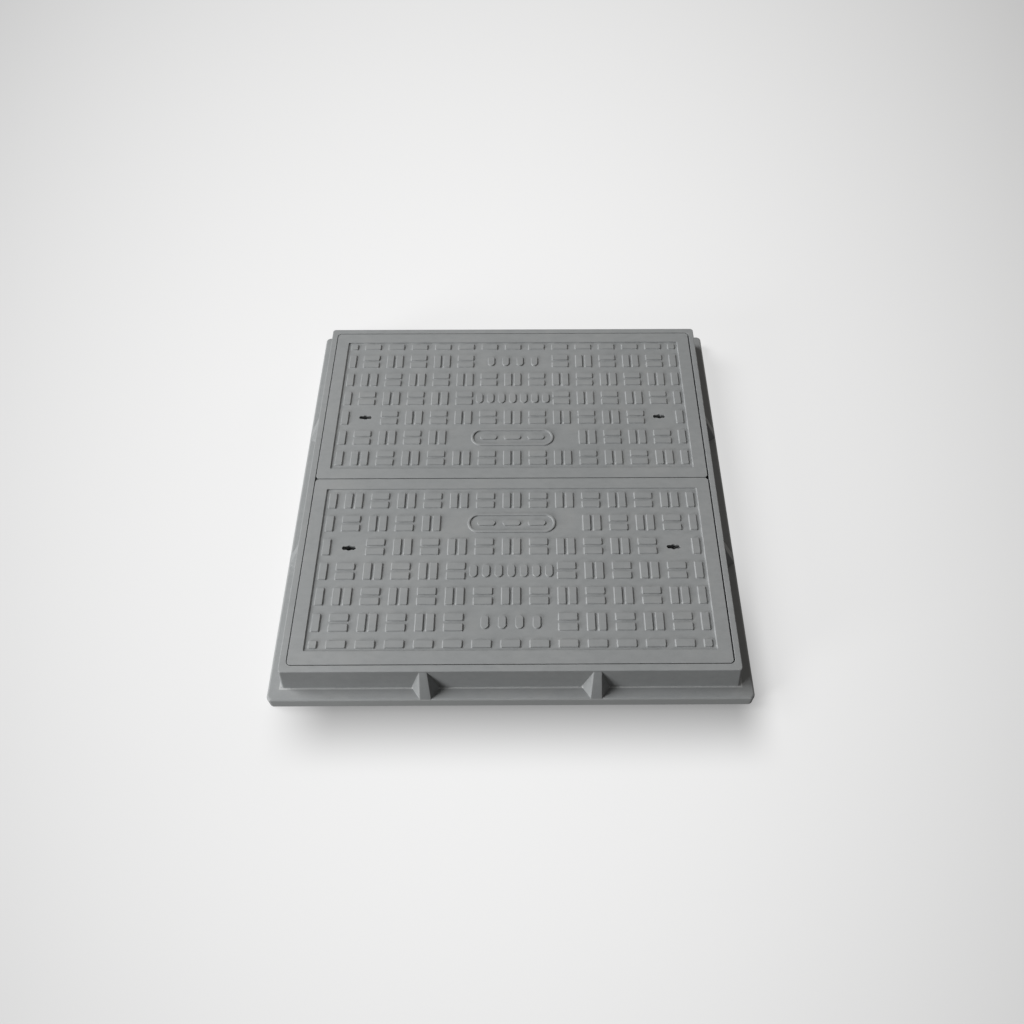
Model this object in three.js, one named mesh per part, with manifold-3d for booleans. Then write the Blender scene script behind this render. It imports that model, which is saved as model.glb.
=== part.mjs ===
// Double-leaf access cover of moulded composite, in its frame.
// Millimetres, +Z up. The origin is the bottom centre of the frame. The seam between the two
// leaves runs along X, and the front leaf is on the -Y side.

import * as THREE from 'three';
import { mergeGeometries, mergeVertices } from 'three/addons/utils/BufferGeometryUtils.js';
import { ConvexGeometry } from 'three/addons/geometries/ConvexGeometry.js';
import Module from 'manifold-3d';

const wasm = await Module();
wasm.setup();

// Frame
const height = 100; // bedding face to tread
const flangeHalf = 502;
const flangeCorner = 11;
const flangeTop = 33;
const flangeLip = { chamfer: 4, width: 8 };
const rimHalf = 465;
const rimCorner = 7;
const wallLean = 8; // how far the wall leans out at its foot
const apertureHalf = 451.5; // inside of the rim, around both leaves
const apertureCorner = 11;
const ledge = { openingHalf: 415, openingCorner: 6, top: 45, skin: 10, lip: 8 };
const flangeSkin = 12;
const wallLeg = { inner: 449, outer: 471 }; // the solid under the wall, between the two rows of cells
const cells = { inner: 9, outer: 11, web: 8 }; // on each side, under the ledge and under the flange
const gusset = {
  places: [-175, 175],
  topHalf: 8,
  toeHalf: 12,
  footHalf: 30,
  top: 97,
  toe: 29,
  reach: 501,
  sunk: 5,
};

// Leaves
const gap = 3; // all round each leaf, and at the seam
const leafHalfLength = apertureHalf - gap;
const leafDepth = apertureHalf - gap - gap / 2;
const leafMiddle = gap / 2 + leafDepth / 2;
const leafCorner = 8;
const leafSkin = 20;
const skirt = { width: 20, foot: 49, insideCorner: 6 };
const recess = { depth: 3.2, border: 28.5, seamBorder: 26.5, slope: 2, corner: 5 };
const rib = {
  thick: 10, foot: 20, inset: 21, lean: 3, rise: 3, acrossAt: [0, 100, 200, 300], alongAt: [110, 240, 330],
};

// Tread: pairs of bars in square cells, turned by a quarter from each cell to the next
const tread = { columns: 13, rows: 6, pitchX: 59.3, pitchY: 59.6, firstRow: 58.8 };
const bar = { length: 40, width: 17, space: 6, draft: 0.8 };
const edgeColumn = 402.7;
const lastRow = 405;
const blankCells = { 2: [5, 6, 7, 8, 9], 3: [1, 13], 4: [6, 7, 8], 6: [6, 7, 8] };

// Raised plain marks in the blank cells
const markDraft = 1;
const badge = { halfX: 98, halfY: 25, line: 5, height: 2.5 };
const lozenge = { halfX: 20, halfY: 7, places: [-56, 0, 56] };
const stud = { halfX: 8.5, halfY: 15.5, height: 2.5 };
const sizeStuds = { count: 7, pitch: 27, row: 4 };
const classStuds = { count: 4, pitch: 36, row: 6 };

// Keyways and the pieces behind them
const keyway = { x: 354, y: 180, slotHalf: 15, slotWidth: 9, eyeRadius: 6.5 };
const keyPlate = { halfX: 42, halfY: 22, corner: 5, thick: 4 };
const keyPot = { flange: 3, cupHalfX: 26, cupHalfY: 20, depth: 34, wall: 3, taper: 2 };
const keyScrew = { offset: 34, shank: 3, hole: 3.3, head: 5.5, headHigh: 3, bite: 8, short: 0.5 };

// Beam under the seam
const beam = {
  flangeHalf: 35,
  flangeThick: 8,
  webThick: 10,
  endFoot: 20,
  foot: 4,
  footHalf: 25,
  footThick: 6,
  bendInside: 5, // from the opening's edge to where the web starts to deepen
  bendLength: 60,
};
const beamPad = { from: 418, to: 448, halfWidth: 33, thick: 2.7, corner: 3 };
const pocket = { halfWidth: 36.5, floor: 16.7 };
const gasket = { outerGap: 1, width: 18, insideCorner: 4 };
const seal = { half: 430, baseHalf: 2.7, stripHalf: 1, top: 86, shoulder: 0.5, grooveDeep: 4 };
const clear = 0.3; // between pieces that touch
const over = 1; // how far shapes run into or past each other before they are joined or cut

const finishes = {
  composite: new THREE.MeshStandardMaterial({ color: 0x8a8d8e, roughness: 0.62, metalness: 0 }),
  galvanised: new THREE.MeshStandardMaterial({ color: 0x9aa0a3, roughness: 0.45, metalness: 0.9 }),
  stainless: new THREE.MeshStandardMaterial({ color: 0xb5b8ba, roughness: 0.3, metalness: 1 }),
  blackPlastic: new THREE.MeshStandardMaterial({ color: 0x1c1d1e, roughness: 0.55, metalness: 0 }),
  rubber: new THREE.MeshStandardMaterial({ color: 0x222222, roughness: 0.85, metalness: 0 }),
};

// From geometries to solids and back

function toSolid(geometry) {
  const bare = geometry.clone();
  bare.deleteAttribute('normal');
  bare.deleteAttribute('uv');
  const merged = mergeVertices(bare, 1e-3);
  return new wasm.Manifold(new wasm.Mesh({
    numProp: 3,
    vertProperties: new Float32Array(merged.attributes.position.array),
    triVerts: new Uint32Array(merged.index.array),
  }));
}

function toGeometry(solid) {
  const mesh = solid.getMesh();
  const geometry = new THREE.BufferGeometry();
  geometry.setAttribute('position', new THREE.BufferAttribute(mesh.vertProperties, 3));
  geometry.setIndex(new THREE.BufferAttribute(mesh.triVerts, 1));
  geometry.computeVertexNormals();
  return geometry;
}

const joined = (...solids) => solids.reduce((body, next) => body.add(next));
const cutBy = (body, ...tools) => tools.reduce((left, tool) => left.subtract(tool), body);

// Plain shapes that the pieces are made of

function roundedRect(halfX, halfY, radius) {
  const shape = new THREE.Shape();
  const x = halfX - radius;
  const y = halfY - radius;
  const quarter = Math.PI / 2;
  [[x, y], [-x, y], [-x, -y], [x, -y]].forEach(([cx, cy], i) => {
    shape.absarc(cx, cy, radius, i * quarter, (i + 1) * quarter);
  });
  return shape;
}

// An upright block from low to high, with rounded corners if it has a radius. Its top is
// drawn in by inset on every side.
function block({ halfX, halfY, radius = 0, low, high, inset = 0, x = 0, y = 0, steps = 2 }) {
  const tall = high - low;
  const geometry = radius > 0
    ? new THREE.ExtrudeGeometry(roundedRect(halfX, halfY, radius), {
      depth: tall, bevelEnabled: false, curveSegments: steps,
    })
    : new THREE.BoxGeometry(2 * halfX, 2 * halfY, tall).toNonIndexed().translate(0, 0, tall / 2);
  const at = geometry.attributes.position;
  for (let i = 0; i < at.count; i += 1) {
    if (inset && at.getZ(i) > tall / 2) {
      at.setX(i, at.getX(i) - Math.sign(at.getX(i)) * inset);
      at.setY(i, at.getY(i) - Math.sign(at.getY(i)) * inset);
    }
  }
  return geometry.translate(x, y, low);
}

function upright(radius, low, high, x, y, sides = 8) {
  const geometry = new THREE.CylinderGeometry(radius, radius, high - low, sides);
  return geometry.rotateX(Math.PI / 2).translate(x, y, (low + high) / 2);
}

// An outline of [along, up] points, thick across Y and centred on it.
function slab(points, thick) {
  const shape = new THREE.Shape(points.map(([along, up]) => new THREE.Vector2(along, up)));
  const geometry = new THREE.ExtrudeGeometry(shape, { depth: thick, bevelEnabled: false });
  return geometry.rotateX(Math.PI / 2).translate(0, thick / 2, 0);
}

// The outline of half a symmetric section, followed by its mirror image.
const mirrored = (half) => [...half, ...half.map(([along, up]) => [-along, up]).reverse()];

const quarterTurns = [0, 1, 2, 3].map((turn) => turn * Math.PI / 2);

// The frame

// A ridge that leans against the +X wall, runs out on the flange, and is sunk a little in both.
function gussetSolid(y) {
  const foot = rimHalf + wallLean;
  const { topHalf, toeHalf, footHalf, top, toe, reach, sunk } = gusset;
  const points = [-1, 1].flatMap((side) => [
    new THREE.Vector3(rimHalf - sunk, y + side * topHalf, top),
    new THREE.Vector3(rimHalf, y + side * topHalf, top),
    new THREE.Vector3(reach, y + side * toeHalf, toe),
    new THREE.Vector3(reach - sunk, y + side * toeHalf, toe - sunk),
    new THREE.Vector3(foot, y + side * footHalf, flangeTop),
    new THREE.Vector3(foot, y + side * footHalf, flangeTop - sunk),
    new THREE.Vector3(rimHalf - sunk, y + side * footHalf, flangeTop),
  ]);
  return new ConvexGeometry(points);
}

// A row of pockets between cross webs, in the underside along the +X side.
function undersideRow(from, to, top, reach, count, skipMiddle) {
  const pitch = 2 * reach / count;
  const row = [];
  for (let i = 0; i < count; i += 1) {
    const middle = (i + 0.5) * pitch - reach;
    if (skipMiddle && Math.abs(middle) < pitch / 2) continue;
    row.push(block({
      halfX: (to - from) / 2,
      halfY: (pitch - cells.web) / 2,
      low: -over,
      high: top,
      x: (from + to) / 2,
      y: middle,
    }));
  }
  return row;
}

function undersideCells() {
  const pockets = [];
  quarterTurns.forEach((turn, i) => {
    const hasBeamPocket = i % 2 === 0;
    const inner = undersideRow(ledge.openingHalf + ledge.lip, wallLeg.inner,
      ledge.top - ledge.skin, ledge.openingHalf, cells.inner, hasBeamPocket);
    const outer = undersideRow(wallLeg.outer, flangeHalf - flangeLip.width,
      flangeTop - flangeSkin, rimHalf, cells.outer, false);
    [...inner, ...outer].forEach((cell) => pockets.push(cell.rotateZ(turn)));
  });
  return toSolid(mergeGeometries(pockets));
}

function frameSolid() {
  const chamferFoot = flangeTop - flangeLip.chamfer;
  const wallHalf = rimHalf + wallLean;
  const flange = { halfX: flangeHalf, halfY: flangeHalf, radius: flangeCorner, steps: 4 };
  const wall = { halfX: wallHalf, halfY: wallHalf, radius: rimCorner, steps: 4 };
  const aperture = { halfX: apertureHalf, halfY: apertureHalf, radius: apertureCorner, steps: 3 };
  const opening = { halfX: ledge.openingHalf, halfY: ledge.openingHalf, radius: ledge.openingCorner };
  const body = joined(
    toSolid(block({ ...flange, low: 0, high: chamferFoot })),
    toSolid(block({ ...flange, low: chamferFoot, high: flangeTop, inset: flangeLip.chamfer })),
    toSolid(block({ ...wall, low: flangeTop, high: height, inset: wallLean })),
  );
  const gussets = quarterTurns.flatMap((turn) => gusset.places.map(
    (place) => toSolid(gussetSolid(place).rotateZ(turn)),
  ));
  return cutBy(
    joined(body, ...gussets),
    toSolid(block({ ...aperture, low: ledge.top, high: height + over })),
    toSolid(block({ ...opening, low: -over, high: ledge.top + over })),
    toSolid(block({
      halfX: apertureHalf, halfY: pocket.halfWidth, low: pocket.floor, high: ledge.top + over,
    })),
    undersideCells(),
  );
}

// The leaves, modelled on the front side

function isBlank(row, column) {
  return (blankCells[row] ?? []).includes(column);
}

function rowMiddle(row) {
  return -(tread.firstRow + (row - 1) * tread.pitchY);
}

function treadBar(x, y, sizeX, sizeY) {
  return block({
    halfX: sizeX / 2,
    halfY: sizeY / 2,
    low: height - recess.depth - over,
    high: height,
    inset: bar.draft,
    x,
    y,
  });
}

function treadSolid() {
  const bars = [];
  const offset = (bar.width + bar.space) / 2;
  const columnMiddle = (column) => (column - (tread.columns + 1) / 2) * tread.pitchX;
  for (let row = 1; row <= tread.rows; row += 1) {
    const y = rowMiddle(row);
    for (let column = 1; column <= tread.columns; column += 1) {
      if (isBlank(row, column)) continue;
      const x = columnMiddle(column);
      const standing = (row + column) % 2 === 0;
      for (const side of [-offset, offset]) {
        bars.push(standing
          ? treadBar(x + side, y, bar.width, bar.length)
          : treadBar(x, y + side, bar.length, bar.width));
      }
    }
    for (const x of [-edgeColumn, edgeColumn]) bars.push(treadBar(x, y, bar.width, bar.length));
  }
  for (let column = 1; column <= tread.columns; column += 1) {
    bars.push(treadBar(columnMiddle(column), -lastRow, bar.length, bar.width));
  }
  for (const x of [-edgeColumn, edgeColumn]) bars.push(treadBar(x, -lastRow, bar.width, bar.width));
  return toSolid(mergeGeometries(bars));
}

// A raised stadium outline with three lozenges in it, and two rows of plain studs.
function marksSolid() {
  const low = height - recess.depth - over;
  const markTop = (mark) => height - recess.depth + mark.height;
  const badgeRow = { low, high: markTop(badge), y: rowMiddle(2) };
  const line = badge.line + markDraft;
  const ring = cutBy(
    toSolid(block({
      halfX: badge.halfX,
      halfY: badge.halfY,
      radius: badge.halfY,
      steps: 4,
      inset: markDraft,
      ...badgeRow,
    })),
    toSolid(block({
      halfX: badge.halfX - line,
      halfY: badge.halfY - line,
      radius: badge.halfY - line,
      steps: 4,
      low: low - over,
      high: height + over,
      y: badgeRow.y,
    })),
  );
  const { halfX, halfY, places } = lozenge;
  const lozenges = places.map((x) => block({
    halfX, halfY, radius: halfY, inset: markDraft, x, ...badgeRow,
  }));
  const studs = [sizeStuds, classStuds].flatMap(({ count, pitch, row }) => (
    Array.from({ length: count }, (_, i) => block({
      halfX: stud.halfX,
      halfY: stud.halfY,
      radius: stud.halfX,
      low,
      high: markTop(stud),
      inset: markDraft,
      x: (i - (count - 1) / 2) * pitch,
      y: rowMiddle(row),
    }))
  ));
  return joined(ring, toSolid(mergeGeometries([...lozenges, ...studs])));
}

function ribsSolid() {
  const ribOutline = (cavityHalf) => mirrored([
    [cavityHalf - rib.inset - rib.lean, rib.foot],
    [cavityHalf - rib.inset, ledge.top + over],
    [cavityHalf + over, skirt.foot + rib.rise],
    [cavityHalf + over, height - leafSkin + over],
  ]);
  const across = slab(ribOutline(leafDepth / 2 - skirt.width), rib.thick).rotateZ(Math.PI / 2);
  const along = slab(ribOutline(leafHalfLength - skirt.width), rib.thick);
  const acrossAt = rib.acrossAt.flatMap((x) => (x ? [-x, x] : [0]));
  return joined(
    ...acrossAt.map((x) => toSolid(across.clone().translate(x, -leafMiddle, 0))),
    ...rib.alongAt.map((y) => toSolid(along.clone().translate(0, -y, 0))),
  );
}

// The keyway's slot with its round eye, or the same shape through the plate behind it.
function keywayCutter(low, high) {
  const half = keyway.slotWidth / 2;
  const slot = block({ halfX: keyway.slotHalf, halfY: half, radius: half, low, high, steps: 3 });
  return joined(toSolid(slot), toSolid(upright(keyway.eyeRadius, low, high, 0, 0, 12)));
}

function screwHoles(low, high) {
  const holes = [-1, 1].map((side) => upright(keyScrew.hole, low, high, side * keyScrew.offset, 0));
  return toSolid(mergeGeometries(holes));
}

function leafSolid() {
  const skinFoot = height - leafSkin;
  const body = toSolid(block({
    halfX: leafHalfLength,
    halfY: leafDepth / 2,
    radius: leafCorner,
    steps: 3,
    low: skirt.foot,
    high: height,
    y: -leafMiddle,
  }));
  const cavity = toSolid(block({
    halfX: leafHalfLength - skirt.width,
    halfY: leafDepth / 2 - skirt.width,
    radius: skirt.insideCorner,
    low: skirt.foot - over,
    high: skinFoot,
    y: -leafMiddle,
  }));
  const { slope } = recess;
  const floorDepth = leafDepth - recess.border - recess.seamBorder;
  const field = toSolid(block({
    halfX: leafHalfLength - recess.border - slope,
    halfY: floorDepth / 2 - slope,
    radius: recess.corner,
    low: height - recess.depth,
    high: height + recess.depth,
    inset: -2 * slope,
    y: -(gap / 2 + recess.seamBorder + floorDepth / 2),
  }));
  const plain = joined(cutBy(body, cavity, field), ribsSolid(), treadSolid(), marksSolid());
  const keyways = [-keyway.x, keyway.x].flatMap((x) => [
    keywayCutter(skinFoot - over, height + over).translate([x, -keyway.y, 0]),
    screwHoles(skinFoot - over, skinFoot + keyScrew.bite).translate([x, -keyway.y, 0]),
  ]);
  return cutBy(plain, ...keyways);
}

function gasketSolid() {
  const ring = (inside, radius, taller) => toSolid(block({
    halfX: leafHalfLength - gasket.outerGap - inside,
    halfY: leafDepth / 2 - gasket.outerGap - inside,
    radius,
    low: ledge.top + clear - taller,
    high: skirt.foot - clear + taller,
    y: -leafMiddle,
  }));
  return cutBy(ring(0, leafCorner, 0), ring(gasket.width, gasket.insideCorner, over));
}

// Behind each keyway, about the keyway's own centre

const plateTop = height - leafSkin - clear;
const potTop = plateTop - keyPlate.thick - clear;

function keyPlateSolid() {
  const low = plateTop - keyPlate.thick;
  const plate = toSolid(block({
    halfX: keyPlate.halfX, halfY: keyPlate.halfY, radius: keyPlate.corner, low, high: plateTop,
  }));
  return cutBy(
    plate,
    keywayCutter(low - over, plateTop + over),
    screwHoles(low - over, plateTop + over),
  );
}

function keyPotSolid() {
  const flangeFoot = potTop - keyPot.flange;
  const floor = potTop - keyPot.depth;
  const cup = (wall, low, high) => toSolid(block({
    halfX: keyPot.cupHalfX - keyPot.taper - wall,
    halfY: keyPot.cupHalfY - keyPot.taper - wall,
    radius: keyPlate.corner,
    low,
    high,
    inset: -keyPot.taper,
  }));
  const flange = toSolid(block({
    halfX: keyPlate.halfX,
    halfY: keyPlate.halfY,
    radius: keyPlate.corner,
    low: flangeFoot,
    high: potTop,
  }));
  return cutBy(
    joined(flange, cup(0, floor, flangeFoot + over)),
    cup(keyPot.wall, floor + keyPot.wall, potTop + over),
    screwHoles(flangeFoot - over, potTop + over),
  );
}

function keyScrewSolid() {
  const seat = potTop - keyPot.flange - clear;
  const tip = height - leafSkin + keyScrew.bite - keyScrew.short;
  return joined(
    toSolid(upright(keyScrew.head, seat - keyScrew.headHigh, seat, 0, 0, 6)),
    toSolid(upright(keyScrew.shank, seat - over, tip, 0, 0)),
  );
}

// Under the seam

// A T section whose web deepens between the frame's ledges, with a narrower flange along its foot.
function beamSolid() {
  const half = leafHalfLength;
  const flangeFoot = ledge.top - beam.flangeThick;
  const bendOuter = ledge.openingHalf - beam.bendInside;
  const bendInner = bendOuter - beam.bendLength;
  const webOutline = mirrored([
    [half, flangeFoot + over],
    [half, beam.endFoot],
    [bendOuter, beam.endFoot],
    [bendInner, beam.foot],
  ]);
  const footOutline = [
    ...mirrored([[bendOuter, beam.endFoot], [bendInner, beam.foot]]),
    ...mirrored([[-bendOuter, beam.endFoot + beam.footThick], [-bendInner, beam.foot + beam.footThick]]),
  ];
  const top = block({ halfX: half, halfY: beam.flangeHalf, low: flangeFoot, high: ledge.top });
  const groove = block({
    halfX: seal.half + over,
    halfY: seal.baseHalf + clear,
    low: ledge.top - seal.grooveDeep,
    high: ledge.top + over,
  });
  return cutBy(
    joined(
      toSolid(top),
      toSolid(slab(webOutline, beam.webThick)),
      toSolid(slab(footOutline, 2 * beam.footHalf)),
    ),
    toSolid(groove),
  );
}

function beamPadSolid() {
  return toSolid(block({
    halfX: (beamPad.to - beamPad.from) / 2,
    halfY: beamPad.halfWidth,
    radius: beamPad.corner,
    low: pocket.floor + clear,
    high: pocket.floor + clear + beamPad.thick,
    x: (beamPad.from + beamPad.to) / 2,
  }));
}

function seamSealSolid() {
  const foot = ledge.top - seal.grooveDeep + clear;
  const shoulder = ledge.top - seal.shoulder;
  const strip = { halfX: seal.half, low: foot };
  return joined(
    toSolid(block({ ...strip, halfY: seal.baseHalf, high: shoulder, inset: seal.shoulder })),
    toSolid(block({ ...strip, halfY: seal.stripHalf, high: seal.top })),
  );
}

// Assembly

function piece(name, solid, finish, x = 0, y = 0) {
  const mesh = new THREE.Mesh(toGeometry(solid), finishes[finish]);
  mesh.name = name;
  mesh.position.set(x, y, 0);
  return mesh;
}

// A leaf with everything that lifts out with it. The rear leaf is the front one turned half round.
function leafGroup(side, turn) {
  const group = new THREE.Group();
  group.add(piece(`leaf_${side}`, leafSolid(), 'composite'));
  group.add(piece(`gasket_${side}`, gasketSolid(), 'rubber'));
  for (const [end, x] of [['left', -keyway.x], ['right', keyway.x]]) {
    group.add(piece(`key_plate_${side}_${end}`, keyPlateSolid(), 'stainless', x, -keyway.y));
    group.add(piece(`key_pot_${side}_${end}`, keyPotSolid(), 'blackPlastic', x, -keyway.y));
    [-keyScrew.offset, keyScrew.offset].forEach((offset, i) => {
      const name = `key_screw_${side}_${end}_${i + 1}`;
      group.add(piece(name, keyScrewSolid(), 'stainless', x + offset, -keyway.y));
    });
  }
  group.rotation.z = turn;
  return group;
}

const cover = new THREE.Group();
cover.add(piece('frame', frameSolid(), 'composite'));
cover.add(piece('beam_pad_right', beamPadSolid(), 'rubber'));
const leftPad = piece('beam_pad_left', beamPadSolid(), 'rubber');
leftPad.rotation.z = Math.PI;
cover.add(leftPad);
cover.add(piece('support_beam', beamSolid(), 'galvanised'));
cover.add(piece('seam_seal', seamSealSolid(), 'rubber'));
cover.add(leafGroup('front', 0));
cover.add(leafGroup('rear', Math.PI));

export default cover;
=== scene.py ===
import math

import bmesh
import bpy
from mathutils import Matrix, Vector


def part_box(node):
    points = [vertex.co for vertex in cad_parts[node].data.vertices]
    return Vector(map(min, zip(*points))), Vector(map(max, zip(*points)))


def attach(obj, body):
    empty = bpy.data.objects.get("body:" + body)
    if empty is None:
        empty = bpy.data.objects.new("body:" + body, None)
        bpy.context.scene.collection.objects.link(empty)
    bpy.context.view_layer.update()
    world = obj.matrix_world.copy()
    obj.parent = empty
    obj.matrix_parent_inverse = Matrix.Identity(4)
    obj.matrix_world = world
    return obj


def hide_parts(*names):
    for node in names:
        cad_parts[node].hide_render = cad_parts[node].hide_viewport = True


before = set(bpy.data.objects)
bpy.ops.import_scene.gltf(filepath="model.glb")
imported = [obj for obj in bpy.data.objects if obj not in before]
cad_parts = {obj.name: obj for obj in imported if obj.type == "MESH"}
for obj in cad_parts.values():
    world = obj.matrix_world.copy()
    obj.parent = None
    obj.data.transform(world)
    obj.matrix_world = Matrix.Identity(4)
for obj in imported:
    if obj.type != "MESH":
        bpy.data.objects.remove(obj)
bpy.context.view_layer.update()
mm = 0.001

scene = bpy.context.scene
scene.view_settings.view_transform = "Standard"

# Levels that every piece shares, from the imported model
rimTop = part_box("frame")[1].z
leafLow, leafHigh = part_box("leaf_front")
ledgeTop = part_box("support_beam")[1].z
print("frame loaded, tread at", round(rimTop, 3))


# Helpers for materials

def newMaterial(name, roughness, metallic=0.0):
    material = bpy.data.materials.new(name)
    material.use_nodes = True
    shader = material.node_tree.nodes["Principled BSDF"]
    shader.inputs["Roughness"].default_value = roughness
    shader.inputs["Metallic"].default_value = metallic
    coords = material.node_tree.nodes.new("ShaderNodeTexCoord")
    return material, shader, coords.outputs["Object"]


def link(material, output, target):
    material.node_tree.links.new(output, target)


def mapped(material, vector, scale=(1, 1, 1)):
    node = material.node_tree.nodes.new("ShaderNodeMapping")
    node.inputs["Scale"].default_value = scale
    link(material, vector, node.inputs["Vector"])
    return node.outputs["Vector"]


def noise(material, vector, scale, detail=2.0, rough=0.5):
    node = material.node_tree.nodes.new("ShaderNodeTexNoise")
    node.inputs["Scale"].default_value = scale
    node.inputs["Detail"].default_value = detail
    node.inputs["Roughness"].default_value = rough
    link(material, vector, node.inputs["Vector"])
    return node.outputs["Fac"]


def cells(material, vector, scale, output="Distance"):
    node = material.node_tree.nodes.new("ShaderNodeTexVoronoi")
    node.inputs["Scale"].default_value = scale
    link(material, vector, node.inputs["Vector"])
    return node.outputs[output]


def ranged(material, value, low, high, toLow=0.0, toHigh=1.0, way="LINEAR"):
    node = material.node_tree.nodes.new("ShaderNodeMapRange")
    node.interpolation_type = way
    for name, number in zip(("From Min", "From Max", "To Min", "To Max"), (low, high, toLow, toHigh)):
        node.inputs[name].default_value = number
    link(material, value, node.inputs["Value"])
    return node.outputs["Result"]


def eased(material, value, low, high):
    return ranged(material, value, low, high, way="SMOOTHSTEP")


def axes(material, vector):
    node = material.node_tree.nodes.new("ShaderNodeSeparateXYZ")
    link(material, vector, node.inputs[0])
    return node.outputs


def times(material, a, b, operation="MULTIPLY"):
    node = material.node_tree.nodes.new("ShaderNodeMath")
    node.operation = operation
    link(material, a, node.inputs[0])
    link(material, b, node.inputs[1])
    return node.outputs["Value"]


def blended(material, factor, first, second):
    node = material.node_tree.nodes.new("ShaderNodeMix")
    node.data_type = "RGBA"
    link(material, factor, node.inputs["Factor"])
    for socket, colour in ((node.inputs[6], first), (node.inputs[7], second)):
        if isinstance(colour, tuple):
            socket.default_value = (*colour, 1)
        else:
            link(material, colour, socket)
    return node.outputs[2]


def bumped(material, shader, layers):
    before = None
    for height, depth, strength in layers:
        node = material.node_tree.nodes.new("ShaderNodeBump")
        node.inputs["Distance"].default_value = depth
        node.inputs["Strength"].default_value = strength
        link(material, height, node.inputs["Height"])
        if before:
            link(material, before, node.inputs["Normal"])
        before = node.outputs["Normal"]
    link(material, before, shader.inputs["Normal"])


# Finishes, one for each slot of the record

composite = {
    "grey": (0.240, 0.249, 0.252),
    "paleGrey": (0.262, 0.270, 0.273),
    "darkGrey": (0.205, 0.214, 0.215),
    "dust": (0.285, 0.288, 0.282),
    "fleck": (0.34, 0.35, 0.35),
    # painted highlight at the foot of the frame's wall: its colour, where it lies outward, and the
    # heights where it comes in and goes out
    "crease": (0.42, 0.43, 0.43),
    "creaseFrom": 473.5 * mm,
    "creaseTo": 477.5 * mm,
    "creaseFoot": (30 * mm, 32 * mm),  # the heights over which it comes in
    "creaseHead": (38 * mm, 35 * mm),  # and goes out again
    # painted highlight along the flange's outer edge: its colour, where it lies outward, and how much of
    # it shows
    "scuff": (0.33, 0.34, 0.34),
    "scuffFrom": 498 * mm,
    "scuffTo": 501 * mm,
    "scuffShare": 0.9,
    "roughness": (0.50, 0.66),
    "rippleDepth": 0.8 * mm,
    "grainDepth": 0.12 * mm,
}


def compositeFinish():
    material, shader, place = newMaterial("mouldedComposite", 0.58)
    broad = ranged(material, noise(material, place, 3.2, 3, 0.55), 0.36, 0.66)
    flow = ranged(material, noise(material, mapped(material, place, (1, 2.2, 1)), 38, 5, 0.6), 0.34, 0.7)
    fibres = noise(material, place, 310, 4, 0.65)
    colour = blended(material, broad, composite["grey"], composite["paleGrey"])
    mottle = times(material, flow, ranged(material, fibres, 0.3, 0.7, 0.2, 0.75))
    colour = blended(material, mottle, colour, composite["darkGrey"])
    # pale filler flecks, a fraction of a millimetre across
    flecks = ranged(material, cells(material, place, 620), 0.16, 0.05, 0.0, 0.35)
    colour = blended(material, flecks, colour, composite["fleck"])
    # thin dust that lies in patches on what faces up
    faces = material.node_tree.nodes.new("ShaderNodeNewGeometry")
    lying = ranged(material, axes(material, faces.outputs["Normal"])["Z"], 0.7, 1.0)
    patches = ranged(material, noise(material, place, 14, 6, 0.62), 0.5, 0.78, 0.0, 0.4)
    dust = times(material, lying, patches)
    colour = blended(material, dust, colour, composite["dust"])
    # painted highlight: a pale line painted along the crease where the frame's wall meets its flange,
    # standing in for light caught there
    size = material.node_tree.nodes.new("ShaderNodeVectorMath")
    size.operation = "ABSOLUTE"
    link(material, place, size.inputs[0])
    reach = axes(material, size.outputs["Vector"])
    outward = times(material, reach["X"], reach["Y"], "MAXIMUM")
    low, high = composite["creaseFrom"], composite["creaseTo"]
    crease = times(material, eased(material, outward, low, low + mm),
                   eased(material, outward, high, high - mm))
    crease = times(material, crease, ranged(material, fibres, 0.2, 0.6, 0.55, 1.0))
    level = times(material, eased(material, reach["Z"], *composite["creaseFoot"]),
                  eased(material, reach["Z"], *composite["creaseHead"]))
    colour = blended(material, times(material, crease, level), colour, composite["crease"])
    # painted highlight: a paler band painted along the rounded outer edge of the flange
    scuff = ranged(material, outward, composite["scuffFrom"], composite["scuffTo"],
                   0.0, composite["scuffShare"])
    colour = blended(material, scuff, colour, composite["scuff"])
    link(material, colour, shader.inputs["Base Color"])
    low, high = composite["roughness"]
    worn = ranged(material, noise(material, place, 55, 4, 0.6), 0.3, 0.7, low, high)
    link(material, worn, shader.inputs["Roughness"])
    grain = noise(material, place, 850, 3, 0.6)
    ripple = noise(material, place, 22, 2, 0.5)
    bumped(material, shader, (
        (ripple, composite["rippleDepth"], 0.35),
        (grain, composite["grainDepth"], 0.6),
    ))
    return material


galvanised = {"light": (0.56, 0.58, 0.59), "dark": (0.36, 0.38, 0.4), "bloom": (0.62, 0.63, 0.62),
              "roughness": (0.34, 0.58), "spangles": 130, "grainDepth": 0.1 * mm}


def galvanisedFinish():
    material, shader, place = newMaterial("galvanisedSteel", 0.42, 0.85)
    spangle = cells(material, place, galvanised["spangles"], "Color")
    tone = material.node_tree.nodes.new("ShaderNodeRGBToBW")
    link(material, spangle, tone.inputs[0])
    colour = blended(material, tone.outputs[0], galvanised["dark"], galvanised["light"])
    bloom = ranged(material, noise(material, place, 18, 5, 0.6), 0.5, 0.75, 0.0, 0.6)
    colour = blended(material, bloom, colour, galvanised["bloom"])
    link(material, colour, shader.inputs["Base Color"])
    link(material, ranged(material, tone.outputs[0], 0, 1, *galvanised["roughness"]),
         shader.inputs["Roughness"])
    bumped(material, shader, ((noise(material, place, 240, 3), galvanised["grainDepth"], 0.5),))
    return material


stainless = {"light": (0.64, 0.63, 0.61), "dark": (0.46, 0.455, 0.44), "roughness": (0.22, 0.42),
             "brushing": (40, 1400, 40), "grainDepth": 0.04 * mm}


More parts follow.
